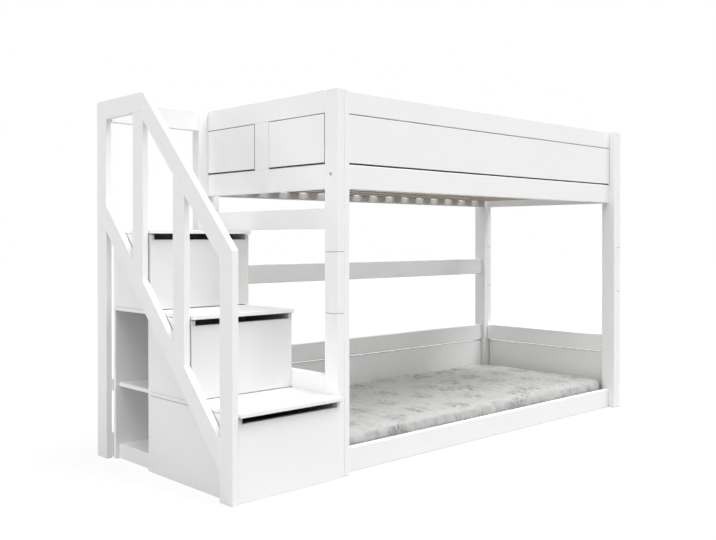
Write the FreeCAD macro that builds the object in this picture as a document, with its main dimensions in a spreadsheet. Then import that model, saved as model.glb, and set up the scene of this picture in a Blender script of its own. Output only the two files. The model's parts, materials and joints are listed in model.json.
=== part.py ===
"""Bunk bed with storage stairs: a lacquered wooden bed for two sleepers.

The bed is a frame of four built-up corner posts, side and end boards, and two slatted bases.
Three stacked stair boxes, each with a drawer, stand against its left end and lead to the upper bunk.
A railing of plain boards, cut to the pitch of the stairs, closes their outer side.

Lengths are in millimetres.  Every place below is first written from one corner of the bed: x runs
along the bed from the outer face of its left posts, y goes back from the front face of its front
posts, and z goes up from the floor.  The stairs lie at negative x.  locate() then moves the whole
model, so that its origin lies on the floor under the middle of its outline.
"""
import FreeCAD
import Part
import Sketcher
import math
import os
import re

Vector = FreeCAD.Vector

# ---------------------------------------------------------------------------------------------
# Driving dimensions
# ---------------------------------------------------------------------------------------------
SIZES = {
    # Bed frame
    "bed_length": 2070,         # over the posts
    "bed_width": 956,           # over the posts
    "bed_height": 1490,         # floor to the top of the upper guard
    "post_depth": 75,           # y size of a post
    "post_outer": 35,           # x size of a post's outer, stacked boards
    "post_batten": 28,          # x size of the full-height batten behind them
    "post_joint_low": 627,      # floor to the lower joint of the stacked boards
    "post_joint_high": 863,     # floor to the upper joint
    "side_recess": 30,          # posts' outer face to the face of the long boards
    "side_board": 24,           # thickness of the long boards
    "panel_board": 20,          # thickness of the panels' field
    "panel_tongue": 8,          # thickness of the panels' tongue
    "panel_groove": 3,          # shadow line round a panel
    "panel_gap": 7,             # wider gap on one side of it: low in the guard, high below
    "frame_height": 384,        # rail, panel and top rail together
    "rail_height": 96,          # bottom rails
    "top_rail_height": 90,      # top rails of the guards and the rear middle rail
    "floor_gap": 2,             # floor to the lowest rails
    "stile_width": 96,          # stile in the middle of each upper end
    "cross_rail_drop": 75,      # guard's underside to the left end's cross rail
    "cross_rail_height": 80,
    "cross_rail_board": 22,
    "middle_rail_low": 698,     # floor to the underside of the rear middle rail
    "edge_ease": 2,             # easing of the solid boards' edges
    # Slatted bases
    "slat_pitch": 122,
    "slat_width": 66,
    "slat_board": 18,
    "slat_height": 34,          # underside of the frame to the underside of the slats
    "slat_end": 3,              # last slat to the right post battens, least for the first
    "slat_side": 1,             # slat ends to the long boards
    "ledger_height": 32,
    "ledger_board": 22,
    # Mattress
    "mattress_play": 4,         # mattress to the boards round it
    "mattress_seat": 0.3,       # mattress above the slats
    "mattress_edge": 100,       # height of its border
    "mattress_crown": 10,       # rise of the middle over the border
    "mattress_corner": 30,      # rounding between side and top
    "mattress_draw": 6,         # how far the sides are drawn in at the foot
    "channel_pitch": 66,        # quilting channels, across the bed
    "channel_depth": 5,
    # Stair boxes
    "stair_width": 470,
    "stair_board": 16,
    "stair_ease": 1,            # easing of the stair boxes' thin boards
    "stair_lead": 15,           # first drawer front, before the bed's front
    "going": 292,
    "first_rise": 315,          # floor to the top of the first tread
    "rise": 317,                # tread to tread
    "tread_nose": 16,           # treads before the drawer fronts
    "divider_setback": 4,       # shelf divider behind the top drawer's front plane
    "shelf_low": 300,           # floor to the underside of the shelf
    "plinth_height": 44,
    "shelf_recess": 18,         # shelves and plinth behind the sides' outer face
    # Drawers
    "front_board": 18,
    "front_gap": 3,             # above and below a drawer front
    "front_reveal": 1,          # between a drawer front and the box's edges
    "slot_depth": 20,           # finger slot in a front's top edge
    "slot_cheek": 16,           # front left standing beside the slot
    "drawer_wall": 15,
    "drawer_side": 2,           # drawer to box, each side
    "drawer_height": 230,
    "drawer_lift": 12,          # front's lower edge to the drawer's lower edge
    "drawer_back": 12,          # drawer to the wall behind it
    "bottom_board": 6,
    "bottom_inlay": 7,          # depth of the groove that holds the bottom
    "bottom_height": 10,        # drawer's lower edge to its bottom
    "bottom_play": 0.3,
    "runner_height": 16,
    "runner_low": 120,          # drawer's lower edge to the runner
    "runner_inlay": 8,          # runner inside the drawer's groove
    "runner_play": 0.5,
    "runner_end": 20,           # runner's front end behind the drawer front
    # Railing
    "railing_board": 78,        # width of every railing board
    "railing_thick": 26,
    "railing_space": 4,         # railing to stair boxes
    "railing_lead": 22,         # front post before the bed's front
    "railing_top": 1487,
    "railing_pitch": 45.6,      # degrees
    "handrail_end": 578,        # y of the handrail's upper end
    "lower_rail_rise": 160,     # z of the lower rail's upper edge, continued to y = 0
    "front_baluster": 281,      # y of the baluster under the handrail
    "spacer_diameter": 20,
    "spacer_inset": 50,         # first spacer behind a stair box's front edge
    # Landing guard behind the stairs
    "landing_setback": 81,      # its front face to the bed's rear face
    "landing_space": 4,         # its front face to the stair boxes' back
    "landing_post_width": 50,
    "landing_post_depth": 53,
    "landing_rail_height": 90,
    "landing_board": 26,
    "landing_low_height": 96,
    "landing_low": 6,
    "landing_middle": 281,
    "landing_middle_height": 46,
}

document = FreeCAD.newDocument("BunkBed")
sheet = document.addObject("Spreadsheet::Sheet", "Sizes")
for row, (alias, value) in enumerate(SIZES.items(), start=1):
    sheet.set(f"A{row}", alias.replace("_", " "))
    sheet.set(f"B{row}", str(value))
    sheet.setAlias(f"B{row}", alias)
document.recompute()

# ---------------------------------------------------------------------------------------------
# Places that several pieces share, as formulas of the sizes
# ---------------------------------------------------------------------------------------------
POST_WIDTH = "(post_outer + post_batten)"
INNER_LENGTH = f"(bed_length - 2 * {POST_WIDTH})"
END_LENGTH = "(bed_width - 2 * post_depth)"
SIDE_INNER = "(side_recess + side_board)"
REAR_SIDE = f"(bed_width - {SIDE_INNER})"
SIDE_SPACING = f"({REAR_SIDE} - side_recess)"
INNER_WIDTH = f"(bed_width - 2 * {SIDE_INNER})"
UPPER = "(bed_height - frame_height)"
LOWER = "floor_gap"
PANEL_HEIGHT = "(frame_height - rail_height - top_rail_height - panel_groove - panel_gap)"
TOP_RAIL_LOW = "(frame_height - top_rail_height)"

STAIR_FRONT = "(-stair_lead)"
STAIR_INNER = "(stair_width - 2 * stair_board)"
TREAD_TOP = [f"(first_rise + {step} * rise)" for step in range(3)]
BOX_TOP = [f"({top} - stair_board)" for top in TREAD_TOP]
BOX_LOW = ["0"] + TREAD_TOP[:2]
FRONT_PLANE = [f"({STAIR_FRONT} + {step} * going)" for step in range(3)]
BOX_FRONT = [f"({plane} + front_board + front_reveal)" for plane in FRONT_PLANE]
DIVIDER = f"({FRONT_PLANE[2]} + divider_setback)"
TOWER = f"({DIVIDER} + stair_board)"
LANDING_FRONT = "(bed_width - landing_setback)"
STAIR_BACK = f"({LANDING_FRONT} - landing_space - stair_board)"
TOWER_DEPTH = f"({STAIR_BACK} - {TOWER})"
BOX_BACK = [DIVIDER, DIVIDER, STAIR_BACK]

RAILING_INNER = "(-stair_width - railing_space)"
RAILING_OUTER = f"({RAILING_INNER} - railing_thick)"
RAILING_FRONT = "(-railing_lead)"
RAILING_SLOPE = "tan(railing_pitch)"
RAIL_DROP = "(railing_board / cos(railing_pitch))"
REAR_POST = "(bed_width - railing_board)"

CENTRE_X = f"((bed_length + {RAILING_OUTER}) / 2)"
CENTRE_Y = f"((bed_width - stair_lead - tread_nose) / 2)"


def cell(formula):
    """Point every size named in a formula at its cell."""
    return re.sub(r"[a-z]+(?:_[a-z]+)+|going|rise\b", lambda found: f"Sizes.{found.group()}", formula)


def bind(thing, target, formula):
    thing.setExpression(target, cell(formula))


def locate(thing, place):
    """Put a sub-part's own origin at a place given from the bed's corner."""
    x, y, z = place
    bind(thing, "Placement.Base.x", f"{x} - {CENTRE_X}")
    bind(thing, "Placement.Base.y", f"{y} - {CENTRE_Y}")
    bind(thing, "Placement.Base.z", z)


# ---------------------------------------------------------------------------------------------
# Ways of making a piece
# ---------------------------------------------------------------------------------------------
parts = []
PLANES = {"x": "YZ_Plane", "y": "XZ_Plane", "z": "XY_Plane"}


def origin_feature(body, role):
    return next(item for item in body.Origin.OriginFeatures if item.Role == role)


def new_body(label):
    body = document.addObject("PartDesign::Body", label)
    body.Label = label
    parts.append(body)
    return body


def new_sketch(body, name, role):
    sketch = body.newObject("Sketcher::SketchObject", name)
    sketch.AttachmentSupport = [(origin_feature(body, role), "")]
    sketch.MapMode = "FlatFace"
    return sketch


def rectangle(body, role, width, height):
    """Sketch a rectangle, its lower left corner on the body's origin."""
    return polygon_outline(body, role, [("0", "0"), (width, "0"), (width, height), ("0", height)])


def polygon_outline(body, role, corners):
    """Sketch a closed outline; each corner is a pair of formulas from the body's origin."""
    sketch = new_sketch(body, body.Label + "_outline", role)
    guess = [sheet_point(corner) for corner in corners]
    count = len(guess)
    for i in range(count):
        sketch.addGeometry(Part.LineSegment(guess[i], guess[(i + 1) % count]), False)
    for i in range(count):
        sketch.addConstraint(Sketcher.Constraint("Coincident", i, 2, (i + 1) % count, 1))
    for i, (u, v) in enumerate(corners):
        for kind, name, formula in (("DistanceX", f"u{i}", u), ("DistanceY", f"v{i}", v)):
            size = guess[i].x if kind == "DistanceX" else guess[i].y
            rule = Sketcher.Constraint(kind, -1, 1, i, 1, size)
            index = sketch.addConstraint(rule)
            if formula != "0":
                sketch.renameConstraint(index, name)
                bind(sketch, "Constraints." + name, formula)
    return sketch


def sheet_point(corner):
    """The present value of a corner's two formulas."""
    return Vector(*[value_of(formula) for formula in corner], 0)


def value_of(formula):
    """The present value of a formula, worked out by the sheet's own expression engine."""
    result = sheet.evalExpression(cell(formula).replace("Sizes.", ""))
    return float(result)


def pad(body, sketch, length):
    """Pad towards +x, +y or +z."""
    feature = body.newObject("PartDesign::Pad", body.Label + "_pad")
    feature.Profile = sketch
    bind(feature, "Length", length)
    feature.Reversed = sketch.AttachmentSupport[0][0].Role == "XZ_Plane"
    return feature


def board(label, grain, place, size, ease="edge_ease"):
    """A board with all its edges eased; grain is the axis that its length runs along."""
    body = new_body(label)
    spans = dict(zip("xyz", size))
    length = spans.pop(grain)
    slab = pad(body, rectangle(body, PLANES[grain], *spans.values()), length)
    document.recompute()
    names = [f"Edge{number}" for number, _ in enumerate(slab.Shape.Edges, start=1)]
    ease_edges(body, slab, names, ease)
    locate(body, place)
    return body


def ease_edges(body, slab, names, ease):
    """Chamfer the named edges of a body's slab."""
    chamfer = body.newObject("PartDesign::Chamfer", body.Label + "_edges")
    chamfer.Base = (slab, names)
    bind(chamfer, "Size", ease)


def block(body, kind, name, place, size):
    """Add or take away a box inside a body."""
    feature = body.newObject(f"PartDesign::{kind}Box", f"{body.Label}_{name}")
    for target, formula in zip(("Length", "Width", "Height"), size):
        bind(feature, target, formula)
    for target, formula in zip("xyz", place):
        bind(feature, f"Placement.Base.{target}", formula)
    return feature


def repeat(body, along, distance, count="2"):
    """Repeat a body's whole piece over a distance along x, y or z."""
    pattern = body.newObject("PartDesign::LinearPattern", f"{body.Label}_along_{along}")
    pattern.TransformMode = "Whole shape"
    pattern.Direction = (origin_feature(body, along.upper() + "_Axis"), [""])
    bind(pattern, "Length", distance)
    bind(pattern, "Occurrences", count)
    body.Tip = pattern
    return pattern


def grid(body, *steps):
    """Repeat a body's whole piece at two places along each axis given with its distance."""
    transform = body.newObject("PartDesign::MultiTransform", body.Label + "_grid")
    transform.TransformMode = "Whole shape"
    patterns = []
    for axis, distance in steps:
        pattern = body.newObject("PartDesign::LinearPattern", f"{body.Label}_along_{axis}")
        pattern.Direction = (origin_feature(body, axis.upper() + "_Axis"), [""])
        pattern.Occurrences = 2
        bind(pattern, "Length", distance)
        patterns.append(pattern)
    transform.Transformations = patterns
    body.Tip = transform


def gather(label, pieces):
    """Put like pieces together in one sub-part; each stays a solid of its own."""
    group = document.addObject("Part::Compound", label)
    group.Label = label
    group.Links = pieces
    parts.append(group)


# ---------------------------------------------------------------------------------------------
# Bed frame
# ---------------------------------------------------------------------------------------------
def make_posts():
    """Four posts: three stacked boards outside, one batten over the whole height inside."""
    sections = {
        "post_lower_sections": ("0", "post_joint_low"),
        "post_middle_sections": ("post_joint_low", "post_joint_high"),
        "post_upper_sections": ("post_joint_high", "bed_height"),
    }
    for label, (low, high) in sections.items():
        section = board(label, "z", ("0", "0", low), ("post_outer", "post_depth", f"{high} - {low}"))
        grid(section, ("x", "bed_length - post_outer"), ("y", "bed_width - post_depth"))
    batten = board("post_battens", "z", ("post_outer", "0", "0"), ("post_batten", "post_depth", "bed_height"))
    grid(batten, ("x", "bed_length - 2 * post_outer - post_batten"), ("y", "bed_width - post_depth"))


def side_board(label, rear, low, height):
    """A long board between the posts, on the front or the rear side."""
    y = REAR_SIDE if rear else "side_recess"
    return board(label, "x", (POST_WIDTH, y, low), (INNER_LENGTH, "side_board", height))


def end_board(label, low, height):
    """A board between the posts of the left end, flush with their outer face."""
    return board(label, "y", ("0", "post_depth", low), ("post_outer", END_LENGTH, height))


def panel(label, place, size, thin, below, above):
    """A panel with a shadow line all round it and a tongue behind that line.

    size is its field, and thin the axis through it.  below and above say how far the tongue
    reaches under and over the field; both its ends reach over the shadow line.
    """
    body = new_body(label)
    run = "y" if thin == "x" else "x"
    block(body, "Additive", "field", ("0", "0", "0"), size)
    start = {"x": "0", "y": "0", "z": f"-({below})"}
    reach = dict(zip("xyz", size))
    start[thin] = "(panel_board - panel_tongue) / 2"
    reach[thin] = "panel_tongue"
    start[run] = "-panel_groove"
    reach[run] += " + 2 * panel_groove"
    reach["z"] += f" + {below} + {above}"
    block(body, "Additive", "tongue", start.values(), reach.values())
    locate(body, place)
    return body


def make_upper_frame():
    """Guard all round the upper bunk: bottom rail, panel and top rail on every side."""
    for label, low, height in (
        ("upper_side_rails", "0", "rail_height"),
        ("upper_side_top_rails", TOP_RAIL_LOW, "top_rail_height"),
    ):
        piece = side_board(label, False, f"{UPPER} + {low}", height)
        repeat(piece, "y", SIDE_SPACING)
    for label, low, height in (
        ("upper_end_rails", "0", "rail_height"),
        ("upper_end_top_rails", TOP_RAIL_LOW, "top_rail_height"),
    ):
        piece = end_board(label, f"{UPPER} + {low}", height)
        repeat(piece, "x", "bed_length - post_outer")


def make_upper_panels():
    """Panels with the wide gap under them; in each end, one on either side of a stile."""
    low = f"{UPPER} + rail_height + panel_gap"
    thick = "panel_board"
    tongue = ("panel_gap", "panel_groove")
    start = f"{POST_WIDTH} + panel_groove"
    field = f"{INNER_LENGTH} - 2 * panel_groove"
    for label, y in (
        ("upper_front_panel", "side_recess"),
        ("upper_rear_panel", "bed_width - side_recess - panel_board"),
    ):
        panel(label, (start, y, low), (field, thick, PANEL_HEIGHT), "y", *tongue)
    stile_y = "(bed_width - stile_width) / 2"
    stile_low = f"{UPPER} + rail_height"
    stile_height = "frame_height - rail_height - top_rail_height"
    stile = board("upper_end_stiles", "z", ("0", stile_y, stile_low), ("post_outer", "stile_width", stile_height))
    repeat(stile, "x", "bed_length - post_outer")
    field = f"({END_LENGTH} - stile_width - 4 * panel_groove) / 2"
    place = ("0", "post_depth + panel_groove", low)
    piece = panel("upper_end_panels", place, (thick, field, PANEL_HEIGHT), "x", *tongue)
    grid(piece, ("y", f"{field} + stile_width + 2 * panel_groove"), ("x", "bed_length - panel_board"))


def make_lower_frame():
    """The lower bunk is open at the front: only its bottom rail runs there.

    Over its panels the gap goes right through, because their tongue ends at the field.
    """
    side_board("lower_front_rail", False, LOWER, "rail_height")
    side_board("lower_rear_rail", True, LOWER, "rail_height")
    side_board("lower_rear_top_rail", True, f"{LOWER} + {TOP_RAIL_LOW}", "top_rail_height")
    low = f"{LOWER} + rail_height + panel_groove"
    tongue = ("panel_groove", "0")
    place = (f"{POST_WIDTH} + panel_groove", "bed_width - side_recess - panel_board", low)
    size = (f"{INNER_LENGTH} - 2 * panel_groove", "panel_board", PANEL_HEIGHT)
    panel("lower_rear_panel", place, size, "y", *tongue)
    for label, start, height in (
        ("lower_end_rails", "0", "rail_height"),
        ("lower_end_top_rails", TOP_RAIL_LOW, "top_rail_height"),
    ):
        piece = end_board(label, f"{LOWER} + {start}", height)
        repeat(piece, "x", "bed_length - post_outer")
    size = ("panel_board", f"{END_LENGTH} - 2 * panel_groove", PANEL_HEIGHT)
    piece = panel("lower_end_panels", ("0", "post_depth + panel_groove", low), size, "x", *tongue)
    grid(piece, ("x", "bed_length - panel_board"))


def make_cross_rails():
    """Two rails between the bunks: one behind the lower bunk, one across its left end."""
    side_board("rear_middle_rail", True, "middle_rail_low", "top_rail_height")
    board(
        "end_cross_rail",
        "y",
        ("0", "post_depth", f"{UPPER} - cross_rail_drop - cross_rail_height"),
        ("cross_rail_board", END_LENGTH, "cross_rail_height"),
    )


def make_slatted_bases():
    """Ledgers on the long boards' inner faces, and the slats that rest on them."""
    ledger_low = "slat_height - ledger_height"
    ledger = board(
        "slat_ledgers",
        "x",
        (POST_WIDTH, SIDE_INNER, f"{LOWER} + {ledger_low}"),
        (INNER_LENGTH, "ledger_board", "ledger_height"),
    )
    grid(ledger, ("y", f"{INNER_WIDTH} - ledger_board"), ("z", f"{UPPER} - {LOWER}"))
    spaces = f"floor(({INNER_LENGTH} - 2 * slat_end - slat_width) / slat_pitch)"
    run = f"slat_pitch * {spaces}"
    first = f"bed_length - {POST_WIDTH} - slat_end - slat_width - {run}"
    for label, base in (("lower_slats", LOWER), ("upper_slats", UPPER)):
        slat = board(
            label,
            "y",
            (first, f"{SIDE_INNER} + slat_side", f"{base} + slat_height"),
            ("slat_width", f"{INNER_WIDTH} - 2 * slat_side", "slat_board"),
        )
        repeat(slat, "x", run, f"{spaces} + 1")


# ---------------------------------------------------------------------------------------------
# Mattress
# ---------------------------------------------------------------------------------------------
def mattress_section(x, width, edge, crown, corner, draw, inset):
    """One closed section across the mattress: flat foot, drawn-in sides, rounded edges, crown."""
    half = width / 2 - inset
    foot = half - draw
    top = edge - inset
    shoulder = half - corner
    side = top - corner
    turns = [math.radians(30 * step) for step in range(4)]
    bend = [(shoulder + corner * math.cos(turn), side + corner * math.sin(turn)) for turn in turns]
    bulge = (half - draw * 0.35, side * 0.4)

    def at(y, z):
        return Vector(x, y, z)

    def lines(points):
        return [Part.LineSegment(at(*a), at(*b)) for a, b in zip(points, points[1:])]

    curves = lines([(-foot, 0), (foot, 0)])
    curves.append(Part.Arc(at(foot, 0), at(*bulge), at(half, side)))
    curves += lines(bend)
    curves.append(Part.Arc(at(shoulder, top), at(0, top + crown), at(-shoulder, top)))
    curves += lines([(-y, z) for y, z in reversed(bend)])
    curves.append(Part.Arc(at(-half, side), at(-bulge[0], bulge[1]), at(-foot, 0)))
    return Part.Wire([curve.toShape() for curve in curves])


def make_mattress():
    """The lower mattress, its top sewn into channels across the bed."""
    value = {name: float(sheet.get(name)) for name in SIZES}
    play = value["mattress_play"]
    length = value_of(INNER_LENGTH) - 2 * play
    width = value_of(INNER_WIDTH) - 2 * play
    depth = value["channel_depth"]
    corner = value["mattress_corner"]
    rounding = [(0.0, 0.6), (0.18, 0.28), (0.5, 0.08), (1.0, 0.0)]
    ends = [(corner * along, corner * inward * 0.5) for along, inward in rounding]
    stations = [(x, inset, 0.0) for x, inset in ends]
    run = length - 2 * corner
    channels = max(2, round(run / value["channel_pitch"]))
    pitch = run / channels
    for channel in range(channels):
        start = corner + channel * pitch
        for share, fall in ((0.0, 1.0), (0.2, 0.2), (0.5, 0.0), (0.8, 0.2)):
            if channel > 0 or share > 0:
                stations.append((start + share * pitch, 0.0, depth * fall))
    stations += [(length - x, inset, 0.0) for x, inset in reversed(ends)]
    wires = []
    for x, inset, fall in stations:
        crown = value["mattress_crown"] - fall
        edge = value["mattress_edge"] - fall * 0.5
        wires.append(mattress_section(x, width, edge, crown, corner, value["mattress_draw"], inset))
    mattress = document.addObject("Part::Feature", "mattress")
    mattress.Label = "mattress"
    mattress.Shape = Part.makeLoft(wires, True, True)
    seat = f"{LOWER} + slat_height + slat_board + mattress_seat"
    locate(mattress, (f"{POST_WIDTH} + mattress_play", "bed_width / 2", seat))
    parts.append(mattress)


# ---------------------------------------------------------------------------------------------
# Stair boxes and side shelves
# ---------------------------------------------------------------------------------------------
def make_stair_boxes():
    """Three boxes, each a step higher and a going further back, and the treads that close them."""
    names = ("stair_sides_low", "stair_sides_middle", "stair_sides_top")
    for step, label in enumerate(names):
        low = BOX_LOW[step]
        front = BOX_FRONT[step]
        depth = f"{BOX_BACK[step]} - {front}"
        size = ("stair_board", depth, f"{BOX_TOP[step]} - {low}")
        sides = board(label, "y", ("-stair_width", front, low), size, "stair_ease")
        repeat(sides, "x", "stair_width - stair_board")
        tread_back = DIVIDER if step == 0 else f"{STAIR_BACK} + stair_board"
        tread_front = f"{FRONT_PLANE[step]} - tread_nose"
        board(
            f"tread_{step + 1}",
            "x",
            ("-stair_width", tread_front, BOX_TOP[step]),
            ("stair_width", f"{tread_back} - ({tread_front})", "stair_board"),
            "stair_ease",
        )
    for label, y, low, high in (
        ("shelf_divider", DIVIDER, "0", BOX_TOP[1]),
        ("stair_back_low", STAIR_BACK, "0", BOX_TOP[1]),
        ("stair_back_top", STAIR_BACK, TREAD_TOP[1], BOX_TOP[2]),
    ):
        size = ("stair_width", "stair_board", f"{high} - {low}")
        board(label, "x", ("-stair_width", y, low), size, "stair_ease")


def make_side_shelves():
    """The tower under the top box is open to the left: two shelves over a plinth."""
    ease = "stair_ease"
    side_size = ("stair_board", TOWER_DEPTH, BOX_TOP[1])
    board("shelf_side", "z", ("-stair_board", TOWER, "0"), side_size, ease)
    x = "shelf_recess - stair_width"
    size = ("stair_width - stair_board - shelf_recess", TOWER_DEPTH, "stair_board")
    shelf = board("shelf_boards", "y", (x, TOWER, "plinth_height"), size, ease)
    repeat(shelf, "z", "shelf_low - plinth_height")
    board("shelf_plinth", "y", (x, TOWER, "0"), ("stair_board", TOWER_DEPTH, "plinth_height"), ease)


# ---------------------------------------------------------------------------------------------
# Drawers
# ---------------------------------------------------------------------------------------------
def make_drawer_front(step):
    """A full-width front; the slot cut into its top edge is the drawer's pull."""
    body = new_body(f"drawer_{step + 1}_front")
    high = f"({BOX_TOP[step]} - {BOX_LOW[step]} - 2 * front_gap)"
    slot_end = "(stair_width - slot_cheek)"
    slot_low = f"({high} - slot_depth)"
    outline = [
        ("0", "0"),
        ("stair_width", "0"),
        ("stair_width", high),
        (slot_end, high),
        (slot_end, slot_low),
        ("slot_cheek", slot_low),
        ("slot_cheek", high),
        ("0", high),
    ]
    pad(body, polygon_outline(body, "XZ_Plane", outline), "front_board")
    locate(body, ("-stair_width", FRONT_PLANE[step], f"{BOX_LOW[step]} + front_gap"))


def make_drawer_box(step):
    """Four walls in one glued box, grooved for its bottom and for the runners."""
    body = new_body(f"drawer_{step + 1}_box")
    low = f"{BOX_LOW[step]} + front_gap + drawer_lift"
    front = f"({FRONT_PLANE[step]} + front_board)"
    across = f"({STAIR_INNER} - 2 * drawer_side)"
    deep = f"({BOX_BACK[step]} - drawer_back - {front})"
    inner_x = f"({across} - 2 * drawer_wall)"
    inner_y = f"({deep} - 2 * drawer_wall)"
    block(body, "Additive", "outside", ("0", "0", "0"), (across, deep, "drawer_height"))
    block(body, "Subtractive", "inside", ("drawer_wall", "drawer_wall", "0"), (inner_x, inner_y, "drawer_height"))
    groove = "(drawer_wall - bottom_inlay)"
    block(
        body,
        "Subtractive",
        "bottom_groove",
        (groove, groove, "bottom_height"),
        (f"{inner_x} + 2 * bottom_inlay", f"{inner_y} + 2 * bottom_inlay", "bottom_board + 2 * bottom_play"),
    )
    slot_size = ("runner_inlay + runner_play", deep, "runner_height + 2 * runner_play")
    for name, x in (("left", "0"), ("right", f"{across} - runner_inlay - runner_play")):
        place = (x, "runner_end - runner_play", "runner_low - runner_play")
        block(body, "Subtractive", f"{name}_groove", place, slot_size)
    place_x = "-stair_width + stair_board + drawer_side"
    locate(body, (place_x, front, low))
    bottom = new_body(f"drawer_{step + 1}_bottom")
    size = (
        f"{inner_x} + 2 * bottom_inlay - 2 * bottom_play",
        f"{inner_y} + 2 * bottom_inlay - 2 * bottom_play",
        "bottom_board",
    )
    block(bottom, "Additive", "board", ("0", "0", "0"), size)
    inset = f"{groove} + bottom_play"
    locate(bottom, (f"{place_x} + {inset}", f"{front} + {inset}", f"{low} + bottom_height + bottom_play"))


def make_drawer_runners(step):
    """A pair of wooden runners on the box's sides, in the drawer's grooves."""
    low = f"{BOX_LOW[step]} + front_gap + drawer_lift + runner_low"
    front = f"{FRONT_PLANE[step]} + front_board + runner_end"
    depth = f"{BOX_BACK[step]} - ({front})"
    wide = "(drawer_side + runner_inlay)"
    body = document.addObject("PartDesign::Body", f"drawer_{step + 1}_runners")
    block(body, "Additive", "runner", ("0", "0", "0"), (wide, depth, "runner_height"))
    locate(body, ("-stair_width + stair_board", front, low))
    repeat(body, "x", f"{STAIR_INNER} - {wide}")
    return body


# ---------------------------------------------------------------------------------------------
# Railing
# ---------------------------------------------------------------------------------------------
def railing_piece(label, outline):
    """A railing board, drawn from the side as (y, z) corners; its two broad faces are eased."""
    body = new_body(label)
    shifted = [(f"({y}) + railing_lead", z) for y, z in outline]
    sketch = polygon_outline(body, "YZ_Plane", shifted)
    slab = pad(body, sketch, "railing_thick")
    document.recompute()
    names = []
    for number, edge in enumerate(slab.Shape.Edges, start=1):
        start, end = (vertex.Point for vertex in edge.Vertexes)
        if abs(start.x - end.x) < slab.Length.Value / 2:
            names.append(f"Edge{number}")
    ease_edges(body, slab, names, "edge_ease")
    locate(body, (RAILING_OUTER, RAILING_FRONT, "0"))
    return body


def handrail_underside(y):
    return f"(railing_top - {RAIL_DROP} - (handrail_end - ({y})) * {RAILING_SLOPE})"


def handrail_upper(y):
    return f"(railing_top - (handrail_end - ({y})) * {RAILING_SLOPE})"


def lower_rail_upper(y):
    return f"(lower_rail_rise + ({y}) * {RAILING_SLOPE})"


def lower_rail_underside(y):
    return f"({lower_rail_upper(y)} - {RAIL_DROP})"


def upright(label, y, low, high):
    """A vertical railing board between two slopes given as functions of y."""
    rear = f"{y} + railing_board"
    railing_piece(label, [(y, low(y)), (rear, low(rear)), (rear, high(rear)), (y, high(y))])


def make_railing():
    """Two posts, two balusters and three rails, all butted: plumb cuts on slopes, pitch cuts below."""
    def floor(y):
        return "0"

    def top(y):
        return "railing_top"

    def rail_underside(y):
        return "(railing_top - railing_board)"

    upright("railing_rear_post", REAR_POST, floor, top)
    upright("railing_front_post", RAILING_FRONT, floor, handrail_underside)
    upright("railing_front_baluster", "front_baluster", lower_rail_upper, handrail_underside)
    upright("railing_rear_baluster", "handrail_end", lower_rail_upper, rail_underside)
    upper = [("handrail_end", rail_underside("")), (REAR_POST, rail_underside(""))]
    upper += [(REAR_POST, "railing_top"), ("handrail_end", "railing_top")]
    railing_piece("railing_top_rail", upper)
    ends = (RAILING_FRONT, "handrail_end")
    slope = [(y, handrail_underside(y)) for y in ends] + [(y, handrail_upper(y)) for y in reversed(ends)]
    railing_piece("handrail", slope)
    ends = (f"({RAILING_FRONT} + railing_board)", REAR_POST)
    slope = [(y, lower_rail_underside(y)) for y in ends]
    slope += [(y, lower_rail_upper(y)) for y in reversed(ends)]
    railing_piece("railing_lower_rail", slope)


def make_railing_spacers():
    """Discs on the screws that hold the railing off the stair boxes."""
    middle = f"({RAILING_FRONT} + railing_board - spacer_diameter - railing_space)"
    seats = [(middle, "first_rise / 4"), (middle, "first_rise * 3 / 4")]
    for step in (1, 2):
        for y in (f"{BOX_FRONT[step]} + spacer_inset", f"{BOX_FRONT[step]} + going / 2"):
            seats.append((y, f"{lower_rail_upper(y)} - {RAIL_DROP} / 2"))
    discs = []
    for index, (y, z) in enumerate(seats, start=1):
        disc = document.addObject("Part::Prism", f"railing_spacer_{index}")
        disc.Polygon = 16
        bind(disc, "Circumradius", "spacer_diameter / 2")
        bind(disc, "Height", "railing_space")
        disc.Placement.Rotation = FreeCAD.Rotation(Vector(0, 1, 0), 90)
        locate(disc, (RAILING_INNER, y, z))
        discs.append(disc)
    gather("railing_spacers", discs)


def make_landing_guard():
    """Behind the stairs: a post beside the bed and three rails to the railing's rear post."""
    post_x = "-landing_post_width"
    board(
        "landing_post",
        "z",
        (post_x, LANDING_FRONT, "0"),
        ("landing_post_width", "landing_post_depth", "railing_top"),
    )
    start = RAILING_INNER
    run = f"-landing_post_width - {RAILING_INNER}"
    rails = {
        "landing_top_rail": ("railing_top - landing_rail_height", "landing_rail_height"),
        "landing_middle_rail": ("landing_middle", "landing_middle_height"),
        "landing_low_rail": ("landing_low", "landing_low_height"),
    }
    for label, (low, height) in rails.items():
        board(label, "x", (start, LANDING_FRONT, low), (run, "landing_board", height))


# ---------------------------------------------------------------------------------------------
# The whole object
# ---------------------------------------------------------------------------------------------
make_posts()
make_upper_frame()
make_upper_panels()
make_lower_frame()
make_cross_rails()
make_slatted_bases()
make_mattress()
make_stair_boxes()
make_side_shelves()
for number in range(3):
    make_drawer_front(number)
    make_drawer_box(number)
gather("drawer_runners", [make_drawer_runners(number) for number in range(3)])
make_railing()
make_railing_spacers()
make_landing_guard()
document.recompute()

for item in document.Objects:
    if "Invalid" in item.State or "Error" in item.State:
        raise RuntimeError(f"{item.Label} could not be built: {item.State}")
os.makedirs("parts", exist_ok=True)
for item in parts:
    if item.Shape.isNull() or not item.Shape.isValid():
        raise RuntimeError(f"{item.Label} has no valid shape")
    item.Shape.exportStep(f"parts/{item.Label}.step")
print(len(parts), "sub-parts,", sum(len(item.Shape.Solids) for item in parts), "solids")
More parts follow.
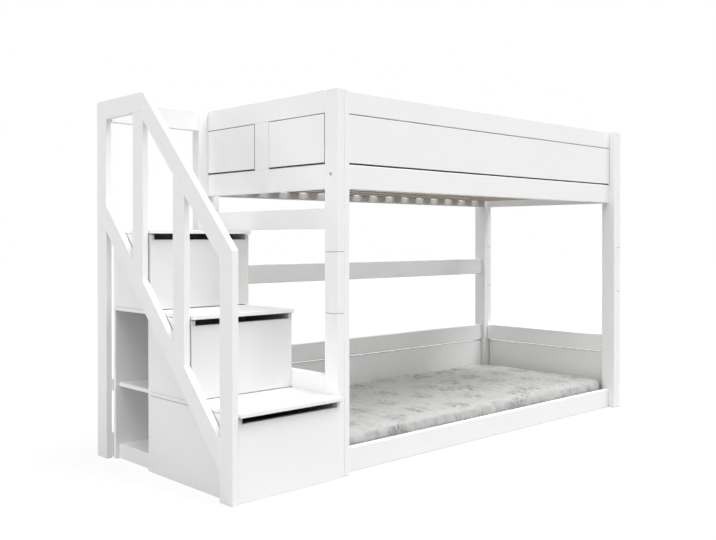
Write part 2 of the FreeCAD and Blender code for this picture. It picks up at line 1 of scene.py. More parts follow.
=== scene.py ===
# %% [markdown]
# # Bunk bed with storage stairs
# The joiner's work is already done when this lesson starts: every board of the bed, the stairs and
# the railing comes in at its real size.  What is left is what makes it look like furniture: lacquer,
# bare pine, soft edges, a quilted mattress, and light like a photographer's.

# %% Load the boards
import bmesh
import bpy
import json
import math
from mathutils import Euler, Matrix, Vector, noise


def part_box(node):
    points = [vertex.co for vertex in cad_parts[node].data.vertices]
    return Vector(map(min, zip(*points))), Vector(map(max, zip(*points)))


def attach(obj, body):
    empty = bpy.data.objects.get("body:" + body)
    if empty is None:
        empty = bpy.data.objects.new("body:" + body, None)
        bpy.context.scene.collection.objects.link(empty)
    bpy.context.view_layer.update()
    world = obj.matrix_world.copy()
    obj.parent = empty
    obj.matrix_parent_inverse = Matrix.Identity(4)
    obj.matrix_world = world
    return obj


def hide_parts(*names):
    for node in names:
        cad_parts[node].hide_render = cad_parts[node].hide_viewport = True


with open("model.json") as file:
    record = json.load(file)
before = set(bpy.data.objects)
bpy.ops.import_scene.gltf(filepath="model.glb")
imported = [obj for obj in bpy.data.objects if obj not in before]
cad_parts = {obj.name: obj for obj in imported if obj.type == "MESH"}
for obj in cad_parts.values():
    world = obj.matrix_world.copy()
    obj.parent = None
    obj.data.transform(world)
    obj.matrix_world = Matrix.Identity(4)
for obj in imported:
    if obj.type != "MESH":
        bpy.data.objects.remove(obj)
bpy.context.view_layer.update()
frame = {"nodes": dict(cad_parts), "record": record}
NODES = frame["nodes"]

# %% [markdown]
# ## Where the camera stands
# A bed photographed for a shop is seen from standing height and from a corner, so that its front and
# its stairs both show.  The camera's place was worked out from the bed's own edges.  A lens is given
# in millimetres for a sensor 36 mm wide, and a small shift keeps the upright posts nearly parallel.

# %% Camera
IMAGE_WIDTH, IMAGE_HEIGHT = 716, 540
FOCAL_PIXELS = 868.1
HORIZON_ROW = 244.9
CAMERA_PLACE = Vector((-2.995, -2.915, 0.916))
CAMERA_HEADING = math.radians(43.37)
CAMERA_DIP = math.radians(0.45)

lens = bpy.data.cameras.new("studio_camera")
lens.sensor_width = 36.0
lens.lens = lens.sensor_width * FOCAL_PIXELS / IMAGE_WIDTH
lens.shift_y = (HORIZON_ROW - IMAGE_HEIGHT / 2) / IMAGE_WIDTH
camera = bpy.data.objects.new("studio_camera", lens)
camera.location = CAMERA_PLACE
camera.rotation_euler = Euler((math.radians(90) - CAMERA_DIP, 0, -CAMERA_HEADING))
bpy.context.scene.collection.objects.link(camera)
bpy.context.scene.camera = camera
print("lens:", round(lens.lens, 1), "mm")

# %% [markdown]
# ## Writing shader maths as sums
# A material is a small machine of nodes.  Wiring each one by hand is slow to read, so one class wraps
# a node's output and answers to + - * and /, each adding a Math node.  A second class holds a material
# and makes every other kind of node.

# %% Shader helpers
class Signal:
    """A node's output that can be added, multiplied and so on."""

    def __init__(self, finish, socket):
        self.finish = finish
        self.socket = socket

    def maths(self, operation, first, second):
        return self.finish.function(operation, first, second)

    def __add__(self, other):
        return self.maths("ADD", self, other)

    def __sub__(self, other):
        return self.maths("SUBTRACT", self, other)

    def __mul__(self, other):
        return self.maths("MULTIPLY", self, other)

    def __truediv__(self, other):
        return self.maths("DIVIDE", self, other)

    def size(self):
        """The value without its sign."""
        return self.finish.function("ABSOLUTE", self)

    __radd__ = __add__
    __rmul__ = __mul__


class Finish:
    """A material on a Principled surface, with one way to add nodes."""

    def __init__(self, name, **constants):
        self.material = bpy.data.materials.new(name)
        self.material.use_nodes = True
        self.tree = self.material.node_tree
        self.surface = self.tree.nodes["Principled BSDF"]
        for label, value in constants.items():
            self.surface.inputs[label.replace("_", " ")].default_value = value

    def add(self, kind, settings=None, inputs=None, output=0):
        node = self.tree.nodes.new(kind)
        for name, value in (settings or {}).items():
            setattr(node, name, value)
        for name, value in (inputs or {}).items():
            if isinstance(value, Signal):
                self.tree.links.new(value.socket, node.inputs[name])
            else:
                node.inputs[name].default_value = value
        return Signal(self, node.outputs[output])

    def function(self, operation, *values):
        """A Math node."""
        return self.add("ShaderNodeMath", {"operation": operation}, dict(enumerate(values)))

    def point(self):
        """Object coordinates in metres."""
        return self.add("ShaderNodeTexCoord", output="Object")

    def place(self, scale=(1, 1, 1)):
        """Object coordinates in metres, stretched."""
        return self.add("ShaderNodeMapping", inputs={"Vector": self.point(), "Scale": scale})

    def split(self, vector):
        """A vector's x, y and z as three signals."""
        node = self.tree.nodes.new("ShaderNodeSeparateXYZ")
        self.tree.links.new(vector.socket, node.inputs[0])
        return [Signal(self, output) for output in node.outputs]

    def cloud(self, point, scale, detail=2.0, roughness=0.5):
        """Soft noise from 0 to 1."""
        inputs = {"Vector": point, "Scale": scale, "Detail": detail, "Roughness": roughness}
        return self.add("ShaderNodeTexNoise", inputs=inputs, output="Fac")

    def limits(self, value, low, high, start=0.0, end=1.0):
        """Spread value's range low..high smoothly over start..end."""
        inputs = {"Value": value, "From Min": low, "From Max": high}
        inputs.update({"To Min": start, "To Max": end})
        return self.add("ShaderNodeMapRange", {"interpolation_type": "SMOOTHSTEP"}, inputs)

    def blend(self, mask, first, second):
        """The first colour where the mask is 0, the second where it is 1."""
        inputs = {0: mask, 6: first, 7: second}
        return self.add("ShaderNodeMix", {"data_type": "RGBA"}, inputs, output=2)

    def relief(self, height, depth):
        """Bump the surface: height from 0 to 1 stands for depth in metres."""
        inputs = {"Height": height, "Distance": depth, "Strength": 1.0}
        return self.add("ShaderNodeBump", inputs=inputs)

    def wire(self, **signals):
        for label, signal in signals.items():
            self.tree.links.new(signal.socket, self.surface.inputs[label.replace("_", " ")])
        return self.material


# %% [markdown]
# ## White lacquer on solid wood
# The frame and the railing are sprayed white.  Sprayed lacquer is never dead flat: it has a faint
# orange-peel ripple, and the long grain of the board still shows as slow waves in a reflection.  The
# grain follows the board, so the finish is made once for each direction that a board can run in.

# %% [markdown]
# The grooves round a panel are a case of their own.  The bottom of such a narrow slot is painted
# dark as painted shade, standing in for the shade that fills it, and reads as a dark line.  The bottom of
# the groove is told from the panel's face by its depth: it lies near the middle of the panel's thickness.

# %% Lacquer
WHITE = 0.93
LACQUER_GLOSS = 0.36
GRAIN_STRETCH = 0.06
PANEL_BOARD = 0.020
GROOVE_DEPTH = 0.0015
# the dark bottom of a panel groove is painted shade
GROOVE_PAINTED_SHADE = (0.055, 0.055, 0.054, 1.0)
SEAM_HALF = 0.0016
# the dark line at a joint is painted shade, the shade in the V between two eased boards
SEAM_PAINTED_SHADE = (0.34, 0.34, 0.335, 1.0)


def groove_shade_mask(finish, thin, middle, spacing):
    """Where the painted groove shade goes: 1 inside the grooves of two panels that stand `spacing` apart,
    0 on their faces.
    """
    place = finish.split(finish.point())["xyz".index(thin)]
    depth = ((place - middle).size() - spacing / 2).size()
    face = PANEL_BOARD / 2
    return finish.limits(depth, face - 2 * GROOVE_DEPTH, face - GROOVE_DEPTH, 1.0, 0.0)


def grain_scale(axis):
    """Noise is stretched along the axis that the board's grain follows."""
    return tuple(GRAIN_STRETCH if name == axis else 1.0 for name in "xyz")


def seam_shade_mask(finish, heights):
    """Where the painted shade of a joint goes: 1 in the thin V between two boards that meet at a height,
    0 elsewhere.
    """
    place = finish.split(finish.point())[2]
    mask = 0.0
    for height in heights:
        mask = mask + finish.limits((place - height).size(), SEAM_HALF, SEAM_HALF * 0.5)
    return mask


def lacquer(name, axis, groove=None, seams=(), tone=WHITE):
    """White lacquer for a board whose grain runs along an axis."""
    finish = Finish(name, Specular_IOR_Level=0.35)
    point = finish.place()
    grain = finish.cloud(finish.place(scale=grain_scale(axis)), 90.0, 3.0)
    peel = finish.cloud(point, 420.0, 1.0)
    patch = finish.cloud(point, 2.2, 2.0)
    shade = finish.limits(patch * 0.7 + grain * 0.3, 0.25, 0.75)
    light = (tone, tone, tone, 1.0)
    dark = (tone * 0.982, tone * 0.982, tone * 0.979, 1.0)
    colour = finish.blend(shade, dark, light)
    if groove:
        # painted shade: the bottom of each panel groove is darkened
        colour = finish.blend(groove_shade_mask(finish, *groove), colour, GROOVE_PAINTED_SHADE)
    if seams:
        # painted shade along each joint
        colour = finish.blend(seam_shade_mask(finish, seams), colour, SEAM_PAINTED_SHADE)
    rough = LACQUER_GLOSS + 0.08 * patch + 0.05 * peel
    height = grain * 0.65 + peel * 0.35
    return finish.wire(Base_Color=colour, Roughness=rough, Normal=finish.relief(height, 0.00012))


LACQUER = {axis: lacquer(f"white_lacquer_{axis}", axis) for axis in "xyz"}
print("lacquer for boards along", ", ".join(LACQUER))

# %% [markdown]
# ## White faced board
# The stair boxes and drawers are flat board with a sprayed face: no grain, a little less gloss, and a
# finer ripple than the frame.  The top skin of a tread is painted a shade darker as painted shade, so
# that it burns out less under the lamps.

# %% Board
TREAD_TOP_PAINTED_SHADE = (0.80, 0.80, 0.795, 1.0)
TREAD_SKIN = (0.0009, 0.0003)
BOARD_ROUGHNESS = 0.42


def faced_board(name, tone=WHITE, seams=(), top=None):
    """Board finish; seams are heights of a painted shade line, and top is the height of a tread's upper
    face, whose skin gets a painted shade.
    """
    finish = Finish(name, Specular_IOR_Level=0.35)
    point = finish.place()
    patch = finish.cloud(point, 3.1, 2.0)
    peel = finish.cloud(point, 700.0, 2.0)
    light = (tone, tone, tone, 1.0)
    dark = (tone * 0.985, tone * 0.985, tone * 0.982, 1.0)
    colour = finish.blend(finish.limits(patch, 0.3, 0.7), dark, light)
    # painted shade along each joint
    if seams:
        colour = finish.blend(seam_shade_mask(finish, seams), colour, SEAM_PAINTED_SHADE)
    # painted shade on a tread's top skin, against the lamps' glare
    if top:
        upper = finish.limits(finish.split(point)[2], top - TREAD_SKIN[0], top - TREAD_SKIN[1])
        colour = finish.blend(upper, colour, TREAD_TOP_PAINTED_SHADE)
    rough = BOARD_ROUGHNESS + 0.08 * patch
    return finish.wire(Base_Color=colour, Roughness=rough, Normal=finish.relief(peel, 0.00006))


BOARD = faced_board("white_board")

# %% [markdown]
# ## Bare pine
# The slats are planed pine with no finish.  Pine grain is a stack of rings cut lengthways: long dark
# lines that wander, a few fine fibres between them, and here and there a warmer stretch.  The edges and
# sides of each slat are painted dark brown as painted shade, the shade that lies in the gaps between
# slats.

# %% Pine
SLAT_PITCH = 0.122
SLAT_WIDTH = 0.066
SLAT_EDGE = 0.0022
SLAT_PAINTED_SHADE = (0.20, 0.16, 0.12, 1.0)
PALE_WOOD = (0.66, 0.60, 0.50, 1.0)
LATE_WOOD = (0.44, 0.36, 0.27, 1.0)
WARM_WOOD = (0.58, 0.50, 0.39, 1.0)


def slat_shade_mask(finish):
    """Where the painted shade goes: 1 on the edges and sides of the slats, 0 between them."""
    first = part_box("upper_slats")[0].x
    along = finish.split(finish.point())[0]
    phase = finish.function("FRACT", (along - first + SLAT_EDGE) / SLAT_PITCH)
    from_first = phase * SLAT_PITCH
    from_last = (from_first - SLAT_EDGE - SLAT_WIDTH).size()
    first_edge = finish.limits(from_first, SLAT_EDGE * 2, SLAT_EDGE)
    return first_edge + finish.limits(from_last, SLAT_EDGE, SLAT_EDGE * 0.5)


def pine(name, axis):
    finish = Finish(name, Specular_IOR_Level=0.25)
    grained_point = finish.place(scale=grain_scale(axis))
    drift = finish.cloud(grained_point, 9.0, 3.0)
    fibre = finish.cloud(grained_point, 320.0, 2.0)
    line = finish.limits(finish.function("SINE", drift * 95.0), 0.1, 1.0)
    body = finish.blend(finish.limits(drift, 0.35, 0.7), PALE_WOOD, WARM_WOOD)
    grained = finish.blend(line * 0.45 + fibre * 0.18, body, LATE_WOOD)
    # painted shade on the slats' edges and sides, the shade of the gaps between slats
    colour = finish.blend(slat_shade_mask(finish), grained, SLAT_PAINTED_SHADE)
    rough = 0.62 + 0.12 * fibre
    height = line * 0.5 + fibre * 0.5
    return finish.wire(Base_Color=colour, Roughness=rough, Normal=finish.relief(height, 0.0002))


PINE = pine("bare_pine", "y")

# %% [markdown]
# ## Grey plastic
# The washers that hold the railing off the stairs, and the caps over the bolts, are moulded, with the
# fine even grain of a sparked mould.

# %% Plastic
DARK_PLASTIC = (0.36, 0.36, 0.37, 1.0)
PALE_PLASTIC = (0.42, 0.42, 0.43, 1.0)


def moulded_plastic():
    finish = Finish("grey_plastic", Specular_IOR_Level=0.45)
    grain = finish.cloud(finish.place(), 1500.0, 2.0)
    colour = finish.blend(grain, DARK_PLASTIC, PALE_PLASTIC)
    relief = finish.relief(grain, 0.00005)
    return finish.wire(Base_Color=colour, Roughness=0.5 + 0.1 * grain, Normal=relief)


PLASTIC = moulded_plastic()

# %% [markdown]
# ## Dressing the boards
# Each board gets the finish of its slot in the parts list.  The meshes arrive as loose triangles, so a
# Weld modifier joins them and a Bevel rounds the eased edges a little more: a real edge always catches
# a thin line of light.
#
# Two tones are painted shade, set for the studio's light, and are not known colours of the boards: the
# slats' ledgers are painted grey, and the fronts of the two upper drawers a little darker than the rest.

# %% Finish for every board
ALONG_Y = ("end_rails", "end_top_rails", "end_panels", "end_cross_rail")
SLOPED = ("handrail", "railing_top_rail", "railing_lower_rail")
ALONG_Z = ("post", "stiles", "baluster")
# the ledgers' grey is painted shade
LEDGER_SHADE_TONE = 0.5
# the upper drawer fronts are darkened as painted shade
UPPER_FRONT_SHADE_TONE = 0.82
EDGE_LIGHT = 0.0009
WELD_REACH = 0.00002
SLOT_OF = {part["node"]: part["material_slot"] for part in frame["record"]["subparts"]}


def board_axis(node):
    """The axis that a board's grain follows."""
    if any(word in node for word in ALONG_Z):
        return "z"
    if any(word in node for word in ALONG_Y) or node in SLOPED:
        return "y"
    return "x"


def panel_lacquer(node):
    """Lacquer for a node's panels, which are thin along x or y, with painted shade in their grooves."""
    low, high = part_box(node)
    thin = "x" if "end" in node else "y"
    first, last = getattr(low, thin), getattr(high, thin)
    groove = (thin, (first + last) / 2, last - first - PANEL_BOARD)
    return lacquer(f"white_lacquer_{node}", board_axis(node), groove)


def seamed_board(node):
    """Board finish with a painted shade line at each seam where this node's boards stand on or under
    another.
    """
    low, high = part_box(node)
    if node.startswith("tread"):
        return faced_board(f"white_board_{node}", seams=(low.z,), top=high.z)
    return faced_board(f"white_board_{node}", seams=(low.z, high.z))


JOINT_LOW, JOINT_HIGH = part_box("post_middle_sections")
# the posts' joints carry a painted shade line
JOINTED_POST = lacquer("white_lacquer_posts", "z", seams=(JOINT_LOW.z, JOINT_HIGH.z))
SHADED_LEDGER_LACQUER = lacquer("white_lacquer_ledger_painted_shade", "x", tone=LEDGER_SHADE_TONE)
PAINTED_SHADE_FRONTS = faced_board("white_board_drawer_fronts_painted_shade", tone=UPPER_FRONT_SHADE_TONE)


def finish_for(node):
    """The material of one node."""
    slot = SLOT_OF[node]
    if "panel" in node:
        return panel_lacquer(node)
    if slot == "bare_pine":
        return PINE
    # the ledgers get a grey lacquer as painted shade
    if node == "slat_ledgers":
        return SHADED_LEDGER_LACQUER
    if "sections" in node:
        return JOINTED_POST
    # painted shade on the fronts of the two upper drawers
    if node in ("drawer_2_front", "drawer_3_front"):
        return PAINTED_SHADE_FRONTS
    if node.startswith(("stair_sides", "tread")):
        return seamed_board(node)
    if slot == "white_lacquer":
        return LACQUER[board_axis(node)]
    return {"white_board": BOARD, "grey_plastic": PLASTIC}.get(slot, BOARD)


def soften_edges(thing):
    """Join a board's triangles and round its edges."""
    weld = thing.modifiers.new("join_faces", "WELD")
    weld.merge_threshold = WELD_REACH
    bevel = thing.modifiers.new("edge_light", "BEVEL")
    bevel.width = EDGE_LIGHT
    bevel.segments = 2
    bevel.limit_method = "ANGLE"
    bevel.angle_limit = math.radians(30)
    bevel.harden_normals = True


for node, thing in NODES.items():
    thing.data.materials.clear()
    thing.data.materials.append(finish_for(node))
    if node != "mattress":
        soften_edges(thing)
print("dressed", len(NODES), "boards")

# %% [markdown]
# ## The mattress
# A foam mattress has no hard line anywhere.  Its cover is knitted and quilted: rows of stitching run
# across the bed, and the padding between them puffs up and puckers in small waves.  The form starts as
# a plain block whose edges are bevelled round, and a Remesh turns it into an even skin of small squares
# that cloth can be made of.

# %% Mattress form
LOW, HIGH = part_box("mattress")
MATTRESS_SIZE = HIGH - LOW
MATTRESS_MIDDLE = (LOW + HIGH) / 2
SKIN_INSET = 0.006
CORNER_RADIUS = 0.050
EDGE_RADIUS = 0.036
VOXEL = 0.013
CROWN = 0.008
LEVEL = 1e-5
ROUND_STEPS = 6


def rise(edge):
    """How much higher one end of an edge is than the other."""
    return abs(edge.verts[0].co.z - edge.verts[1].co.z)


def mattress_block():
    """A block with round corners and round edges, a little inside the mattress's space."""
    shape = bmesh.new()
    bmesh.ops.create_cube(shape, size=1.0)
    size = MATTRESS_SIZE - Vector((2 * SKIN_INSET, 2 * SKIN_INSET, SKIN_INSET + CROWN))
    bmesh.ops.scale(shape, vec=size, verts=shape.verts)
    bevel = {"profile": 0.5, "material": -1, "affect": "EDGES", "clamp_overlap": True}
    bevel["segments"] = ROUND_STEPS
    upright = [edge for edge in shape.edges if rise(edge) > LEVEL]
    bmesh.ops.bevel(shape, geom=upright, offset=CORNER_RADIUS, **bevel)
    rims = [edge for edge in shape.edges if rise(edge) < LEVEL]
    rims = [edge for edge in rims if len(edge.link_faces) == 2 and edge.calc_face_angle(0) > 1.0]
    bmesh.ops.bevel(shape, geom=rims, offset=EDGE_RADIUS, **bevel)
    middle = Vector((MATTRESS_MIDDLE.x, MATTRESS_MIDDLE.y, LOW.z + size.z / 2))
    bmesh.ops.translate(shape, vec=middle, verts=shape.verts)
    return shape


def new_piece(name, shape):
    """A visible object made from a bmesh."""
    mesh = bpy.data.meshes.new(name)
    shape.to_mesh(mesh)
    shape.free()
    piece = bpy.data.objects.new(name, mesh)
    bpy.context.scene.collection.objects.link(piece)
    return piece


def bake_modifiers(piece):
    """Swap a piece's mesh for the one that its modifiers make."""
    bpy.context.view_layer.update()
    whole = piece.evaluated_get(bpy.context.evaluated_depsgraph_get())
    mesh = bpy.data.meshes.new_from_object(whole)
    piece.modifiers.clear()
    piece.data = mesh


quilt = new_piece("quilted_mattress", mattress_block())
skin = quilt.modifiers.new("even_skin", "REMESH")
skin.mode = "VOXEL"
skin.voxel_size = VOXEL
bake_modifiers(quilt)
print("mattress skin:", len(quilt.data.vertices), "points")

# %% [markdown]
# ## Rows of stitching
# Stitching pulls the cover down into the foam in rows that wander by a few millimetres.  Here that is
# a shallow trough: the skin is lowered beside each row, and what lies between two rows stays up.  The
# whole top also rises slowly towards its middle, as a new mattress does.

# %% Stitching
ROW_PITCH = 0.066
ROW_DEPTH = 0.005
ROW_WANDER = 0.007
ROW_SHARPNESS = 2.2
BORDER_SHARE = 0.5
FOOT_SHARE = 0.04
FULL_SHARE = 0.3


def row_phase(point):
    """0 on a row of stitching, 1 half way between two."""
    wander = ROW_WANDER * noise.noise(Vector((point.x * 3.0, point.y * 5.0, 1.7)))
    return abs(math.sin(math.pi * (point.x + wander - LOW.x) / ROW_PITCH))


def crown_height(point):
    """How far the top rises over its border."""
    across = (point.y - MATTRESS_MIDDLE.y) / (MATTRESS_SIZE.y / 2)
    along = (point.x - MATTRESS_MIDDLE.x) / (MATTRESS_SIZE.x / 2)
    return CROWN * max(0.0, 1.0 - across ** 2) * max(0.0, 1.0 - along ** 4)


def top_share(point):
    """0 at the foot of the mattress, where it lies flat on its slats, 1 from a third up."""
    height = (point.z - LOW.z) / MATTRESS_SIZE.z
    return min(1.0, max(0.0, (height - FOOT_SHARE) / FULL_SHARE))


def push_skin(piece, height):
    """Move every point of a skin along its normal by height(point), and a border point less."""
    mesh = piece.data
    normals = [Vector(vertex.normal) for vertex in mesh.vertices]
    for vertex, normal in zip(mesh.vertices, normals):
        upward = max(0.0, normal.z)
        share = top_share(vertex.co) * (BORDER_SHARE + (1.0 - BORDER_SHARE) * upward)
        vertex.co += normal * height(vertex.co) * share


push_skin(quilt, lambda point: -ROW_DEPTH * (1.0 - row_phase(point)) ** ROW_SHARPNESS)
for vertex in quilt.data.vertices:
    if vertex.normal.z > 0.0:
        vertex.co.z += crown_height(vertex.co) * vertex.normal.z

# %% [markdown]
# ## Letting the cover relax
# A quilted cover is cut a little larger than the foam, so between its rows it puckers.  Cloth does that
# by itself: the rows and the foot are pinned, the cloth is told to grow by a few percent, and a light
# pressure from inside keeps it off the foam.  No point may move further than the real padding could,
# and the mesh that comes out replaces the cloth.

# %% Cloth
COVER_GROWTH = 0.05
CLOTH_FRAMES = 12
BILLOW_LIMIT = 0.006
ROW_PINNED = 0.24
FOOT_PINNED = 0.2


def cover_cloth_settings(settings):
    """A light, limp knit that wants to be larger than its skin."""
    settings.quality = 3
    settings.mass = 0.12
    settings.tension_stiffness = 12.0
    settings.compression_stiffness = 12.0
    settings.shear_stiffness = 6.0
    settings.bending_stiffness = 0.05
    settings.shrink_min = -COVER_GROWTH
    settings.use_pressure = True
    settings.uniform_pressure_force = 3.0
    settings.vertex_group_mass = "stitched"
    settings.effector_weights.gravity = 0.0


def relax_cover(piece):
    """Run the cloth with its rows and its foot pinned, and keep the last frame."""
    before = [vertex.co.copy() for vertex in piece.data.vertices]
    group = piece.vertex_groups.new(name="stitched")
    held = [row_phase(co) < ROW_PINNED or top_share(co) < FOOT_PINNED for co in before]
    group.add([number for number, still in enumerate(held) if still], 1.0, "REPLACE")
    cloth = piece.modifiers.new("relaxing_cover", "CLOTH")
    cover_cloth_settings(cloth.settings)
    cloth.collision_settings.use_collision = False
    cloth.point_cache.frame_start = 1
    cloth.point_cache.frame_end = CLOTH_FRAMES
    for number in range(1, CLOTH_FRAMES + 1):
        bpy.context.scene.frame_set(number)
    bake_modifiers(piece)
    bpy.context.scene.frame_set(1)
    furthest = 0.0
    for vertex, place in zip(piece.data.vertices, before):
        move = vertex.co - place
        furthest = max(furthest, move.length)
        if move.length > BILLOW_LIMIT:
            vertex.co = place + move.normalized() * BILLOW_LIMIT
    piece.vertex_groups.clear()
    print("furthest that the cloth moved, in mm:", round(furthest * 1000, 1))


relax_cover(quilt)
finer = quilt.modifiers.new("finer_skin", "SUBSURF")
finer.levels = finer.render_levels = 1
bake_modifiers(quilt)
print("points of the relaxed cover:", len(quilt.data.vertices))

# %% [markdown]
# ## Puckers
# The smallest waves are finer than the cloth's squares can fold by themselves, so they are worked in at
# the end: ripples a few centimetres long that lie across the rows.

# %% Puckers
PUCKER_LENGTH = 0.030
PUCKER_DEPTH = 0.0040
FINE_DEPTH = 0.0007


def pucker_height(point):
    """Ripples of two sizes, one on top of the other."""
    x, y, z = point
    wave = noise.noise(Vector((x / PUCKER_LENGTH * 0.55, y / PUCKER_LENGTH, z / 0.03)))
    fine = noise.noise(Vector((x / 0.016, y / 0.03, z / 0.02 + 5.0)))
    return PUCKER_DEPTH * wave + FINE_DEPTH * fine


push_skin(quilt, pucker_height)
for polygon in quilt.data.polygons:
    polygon.use_smooth = True

# %% [markdown]
# ## The cover's cloth
# The knit is a very fine weave, seen only as a soft sheen.  Grey sprigs are knitted into it.  Each
# sprig is drawn around the middle of a Voronoi cell: a ring of short strokes, some lost, so that no two
# are alike.  Over the border the pattern folds down, because the coordinate that runs across the bed
# takes up the height as well.

# %% Cover cloth
SPRIG_SPACING = 0.21
STROKES = 11.0
DARK_CLOTH = (0.36, 0.36, 0.355, 1.0)
PALE_CLOTH = (0.42, 0.42, 0.415, 1.0)
HAZE_COLOUR = (0.20, 0.20, 0.205, 1.0)
LEAF_COLOUR = (0.15, 0.15, 0.155, 1.0)
KNIT_COLOUR = (0.52, 0.52, 0.52, 1.0)


def cover_cloth():
    sheen = {"Sheen_Weight": 0.3, "Sheen_Roughness": 0.5}
    finish = Finish("mattress_cover", Specular_IOR_Level=0.3, **sheen)
    point = finish.point()
    along, over, up = finish.split(point)
    flat = finish.add("ShaderNodeCombineXYZ", inputs={0: along, 1: over + up})
    cells = {"voronoi_dimensions": "2D"}
    spread = {"Vector": flat, "Scale": 1.0 / SPRIG_SPACING, "Randomness": 0.55}
    middle = finish.add("ShaderNodeTexVoronoi", cells, spread, output="Position")
    away = finish.add("ShaderNodeVectorMath", {"operation": "SUBTRACT"}, {0: flat, 1: middle})
    east, north = finish.split(away)[:2]
    angle = finish.function("ARCTAN2", north, east)
    reach = finish.add("ShaderNodeVectorMath", {"operation": "LENGTH"}, {0: away}, output="Value")
    drift = finish.cloud(flat, 30.0, 3.0)
    strokes = finish.function("SINE", angle * STROKES + drift * STROKES)
    ring = finish.limits(reach, 0.006, 0.014) * finish.limits(reach, 0.074, 0.052)
    leaves = finish.limits(strokes, -0.1, 0.6) * ring * finish.limits(drift, 0.40, 0.54)
    haze = finish.limits(reach, 0.075, 0.035) * finish.limits(drift, 0.30, 0.55)
    knit = finish.cloud(finish.place(scale=(1.0, 0.45, 1.0)), 900.0, 1.0)
    slow = finish.cloud(point, 11.0, 3.0)
    cloth = finish.blend(slow, DARK_CLOTH, PALE_CLOTH)
    shaded = finish.blend(haze * 0.42, cloth, HAZE_COLOUR)
    printed = finish.blend(leaves * 0.8, shaded, LEAF_COLOUR)
    colour = finish.blend(knit * 0.2, printed, KNIT_COLOUR)
    relief = finish.relief(knit * 0.7 + leaves * 0.3, 0.0005)
    return finish.wire(Base_Color=colour, Roughness=0.6 + 0.1 * knit, Normal=relief)


quilt.data.materials.append(cover_cloth())
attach(quilt, "bed")
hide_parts("mattress")

# %% [markdown]
# ## Bolt caps
# The long rails are bolted to the posts through their outer faces, and a small grey cap closes each
# hole.  A cap is a turned disc: a short cylinder whose rim is bevelled and whose face is set in a
# little, with a dimple in the middle where a finger nail can lift it.

# %% Caps
CAP_RADIUS = 0.0065
CAP_RISE = 0.0012
CAP_RIM = 0.0004
CAP_DISH = 0.0005
CAP_SIDES = 20
CAP_ABOVE = 0.008       # over the middle of the upper rails
CAP_OUTWARD = 0.003     # from the middle of a rail's thickness
SIDE_BOARD = 0.024
RAILS_LOW, RAILS_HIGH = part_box("upper_side_rails")
POSTS_LOW, POSTS_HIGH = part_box("post_upper_sections")
FOOT_LOW, FOOT_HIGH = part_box("lower_front_rail")


def cap_mesh(place, outward):
    """One cap on a post's end face; outward is -1 for the left end and 1 for the right."""
    shape = bmesh.new()
    disc = {"radius1": CAP_RADIUS, "radius2": CAP_RADIUS, "depth": CAP_RISE}
    bmesh.ops.create_cone(shape, cap_ends=True, segments=CAP_SIDES, **disc)
    top = max(shape.faces, key=lambda face: face.calc_center_median().z)
    rim = {"offset": CAP_RIM, "segments": 2, "profile": 0.5, "material": -1, "affect": "EDGES"}
    bmesh.ops.bevel(shape, geom=list(top.edges), **rim)
    top = max(shape.faces, key=lambda face: (round(face.calc_center_median().z, 6), face.calc_area()))
    bmesh.ops.inset_region(shape, faces=[top], thickness=CAP_RADIUS * 0.3, depth=0.0)
    bmesh.ops.inset_region(shape, faces=[top], thickness=CAP_RIM, depth=-CAP_DISH)
    turn = Matrix.Translation(place) @ Matrix.Rotation(math.radians(90) * outward, 4, "Y")
    lift = Matrix.Translation((0, 0, CAP_RISE / 2))
    bmesh.ops.transform(shape, matrix=turn @ lift, verts=shape.verts)
    mesh = bpy.data.meshes.new("one_cap")
    shape.to_mesh(mesh)
    shape.free()
    return mesh


def bolt_caps():
    """One cap on the left end, four on the right, as one piece."""
    front = RAILS_LOW.y + SIDE_BOARD / 2 - CAP_OUTWARD
    rear = RAILS_HIGH.y - SIDE_BOARD / 2 + CAP_OUTWARD
    upper = (RAILS_LOW.z + RAILS_HIGH.z) / 2 + CAP_ABOVE
    lower = (FOOT_LOW.z + FOOT_HIGH.z) / 2
    places = [(POSTS_LOW.x, front, upper, -1)]
    places += [(POSTS_HIGH.x, y, z, 1) for y in (front, rear) for z in (upper, lower)]
    shape = bmesh.new()
    for x, y, z, outward in places:
        shape.from_mesh(cap_mesh(Vector((x, y, z)), outward))
    caps = new_piece("bolt_caps", shape)
    caps.data.materials.append(PLASTIC)
    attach(caps, "bed")
    print("bolt caps:", len(places))


bolt_caps()

# %% [markdown]
# ## Floor and light
# The bed stands in a white studio.  The floor is a real plane that takes a soft shadow, but to the
# camera it is almost pure white.  Reflections and anything seen through glass get that white too, while
# the floor throws back less light than white paper would, so the undersides stay grey.

# %% Floor
FLOOR_SIZE = 30.0
FLOOR_DROP = 0.0005
FLOOR_BOUNCE = (0.32, 0.32, 0.32, 1.0)
FLOOR_SHOWN = (0.95, 0.95, 0.95, 1.0)
FLOOR_GLOW = 0.9


def shown_directly(tree):
    """A socket that is 1 to the camera, in reflections and through glass, and 0 to everything else."""
    path = tree.nodes.new("ShaderNodeLightPath")
    socket = path.outputs["Is Camera Ray"]
    for kind in ("Is Glossy Ray", "Is Transmission Ray"):
        either = tree.nodes.new("ShaderNodeMath")
        either.operation = "MAXIMUM"
        tree.links.new(socket, either.inputs[0])
        tree.links.new(path.outputs[kind], either.inputs[1])
        socket = either.outputs[0]
    return socket


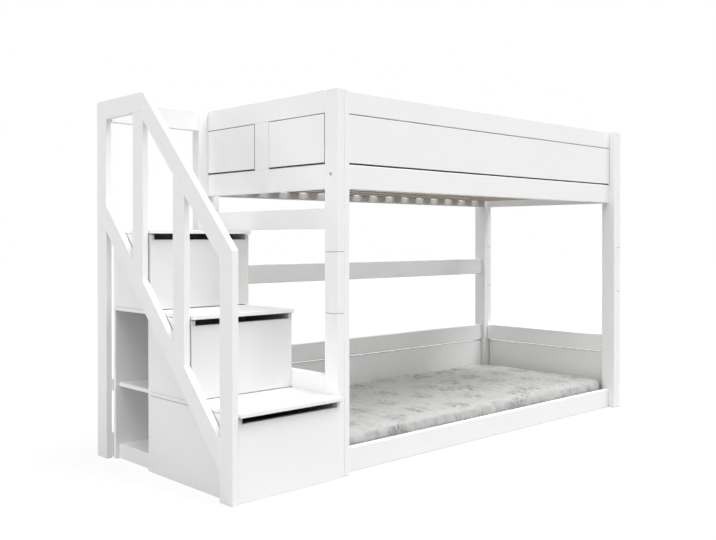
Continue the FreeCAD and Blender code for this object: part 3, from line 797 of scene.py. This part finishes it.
def studio_floor():
    shape = bmesh.new()
    bmesh.ops.create_grid(shape, x_segments=1, y_segments=1, size=FLOOR_SIZE)
    floor = new_piece("studio_floor", shape)
    floor.data.transform(Matrix.Translation((0, 0, -FLOOR_DROP)))
    finish = Finish("studio_floor", Roughness=0.9)
    tree = finish.tree
    glow = tree.nodes.new("ShaderNodeEmission")
    glow.inputs["Strength"].default_value = 1.0
    seen = Signal(finish, shown_directly(tree))
    finish.wire(Base_Color=finish.blend(seen, FLOOR_BOUNCE, FLOOR_SHOWN))
    share = seen * FLOOR_GLOW
    mix = tree.nodes.new("ShaderNodeMixShader")
    tree.links.new(share.socket, mix.inputs[0])
    tree.links.new(finish.surface.outputs[0], mix.inputs[1])
    tree.links.new(glow.outputs[0], mix.inputs[2])
    output = tree.nodes["Material Output"]
    tree.links.new(mix.outputs[0], output.inputs["Surface"])
    floor.data.materials.append(finish.material)


studio_floor()

# %% [markdown]
# ## World and lamps
# Each lamp is a sun with a wide disc, so its shadows are soft and it weighs the same wherever a board
# stands.  One comes from the front, two from the right and the left front, and a low one from the left
# end.  The world adds a faint fill to the shadows, and shows itself as plain white.

# %% Light
WORLD_LEVEL = 0.09


def studio_world():
    """Plain white to the camera and in reflections, a faint fill to everything else."""
    world = bpy.data.worlds.new("white_studio")
    bpy.context.scene.world = world
    world.use_nodes = True
    tree = world.node_tree
    tree.nodes.clear()
    level = tree.nodes.new("ShaderNodeMapRange")
    level.inputs["To Min"].default_value = WORLD_LEVEL
    level.inputs["To Max"].default_value = 1.0
    sky = tree.nodes.new("ShaderNodeBackground")
    output = tree.nodes.new("ShaderNodeOutputWorld")
    sky.inputs["Color"].default_value = (1.0, 1.0, 1.0, 1.0)
    tree.links.new(shown_directly(tree), level.inputs["Value"])
    tree.links.new(level.outputs[0], sky.inputs["Strength"])
    tree.links.new(sky.outputs[0], output.inputs["Surface"])


def soft_light(name, heading, height, softness, strength):
    """Even light from a heading (0 is the front, 90 the right) and a height, in degrees."""
    light = bpy.data.lights.new(name, "SUN")
    light.energy = strength
    light.angle = math.radians(softness)
    lamp = bpy.data.objects.new(name, light)
    heading, height = math.radians(heading), math.radians(height)
    level = math.cos(height)
    source = Vector((level * math.sin(heading), -level * math.cos(heading), math.sin(height)))
    lamp.rotation_euler = source.to_track_quat("Z", "Y").to_euler()
    bpy.context.scene.collection.objects.link(lamp)


studio_world()
soft_light("front_light", 0, 64, 36, 1.15)
soft_light("right_light", 50, 62, 36, 3.2)
soft_light("left_front_light", -38, 52, 40, 0.72)
soft_light("left_light", -90, 13, 44, 1.42)
bpy.context.scene.view_settings.view_transform = "Standard"
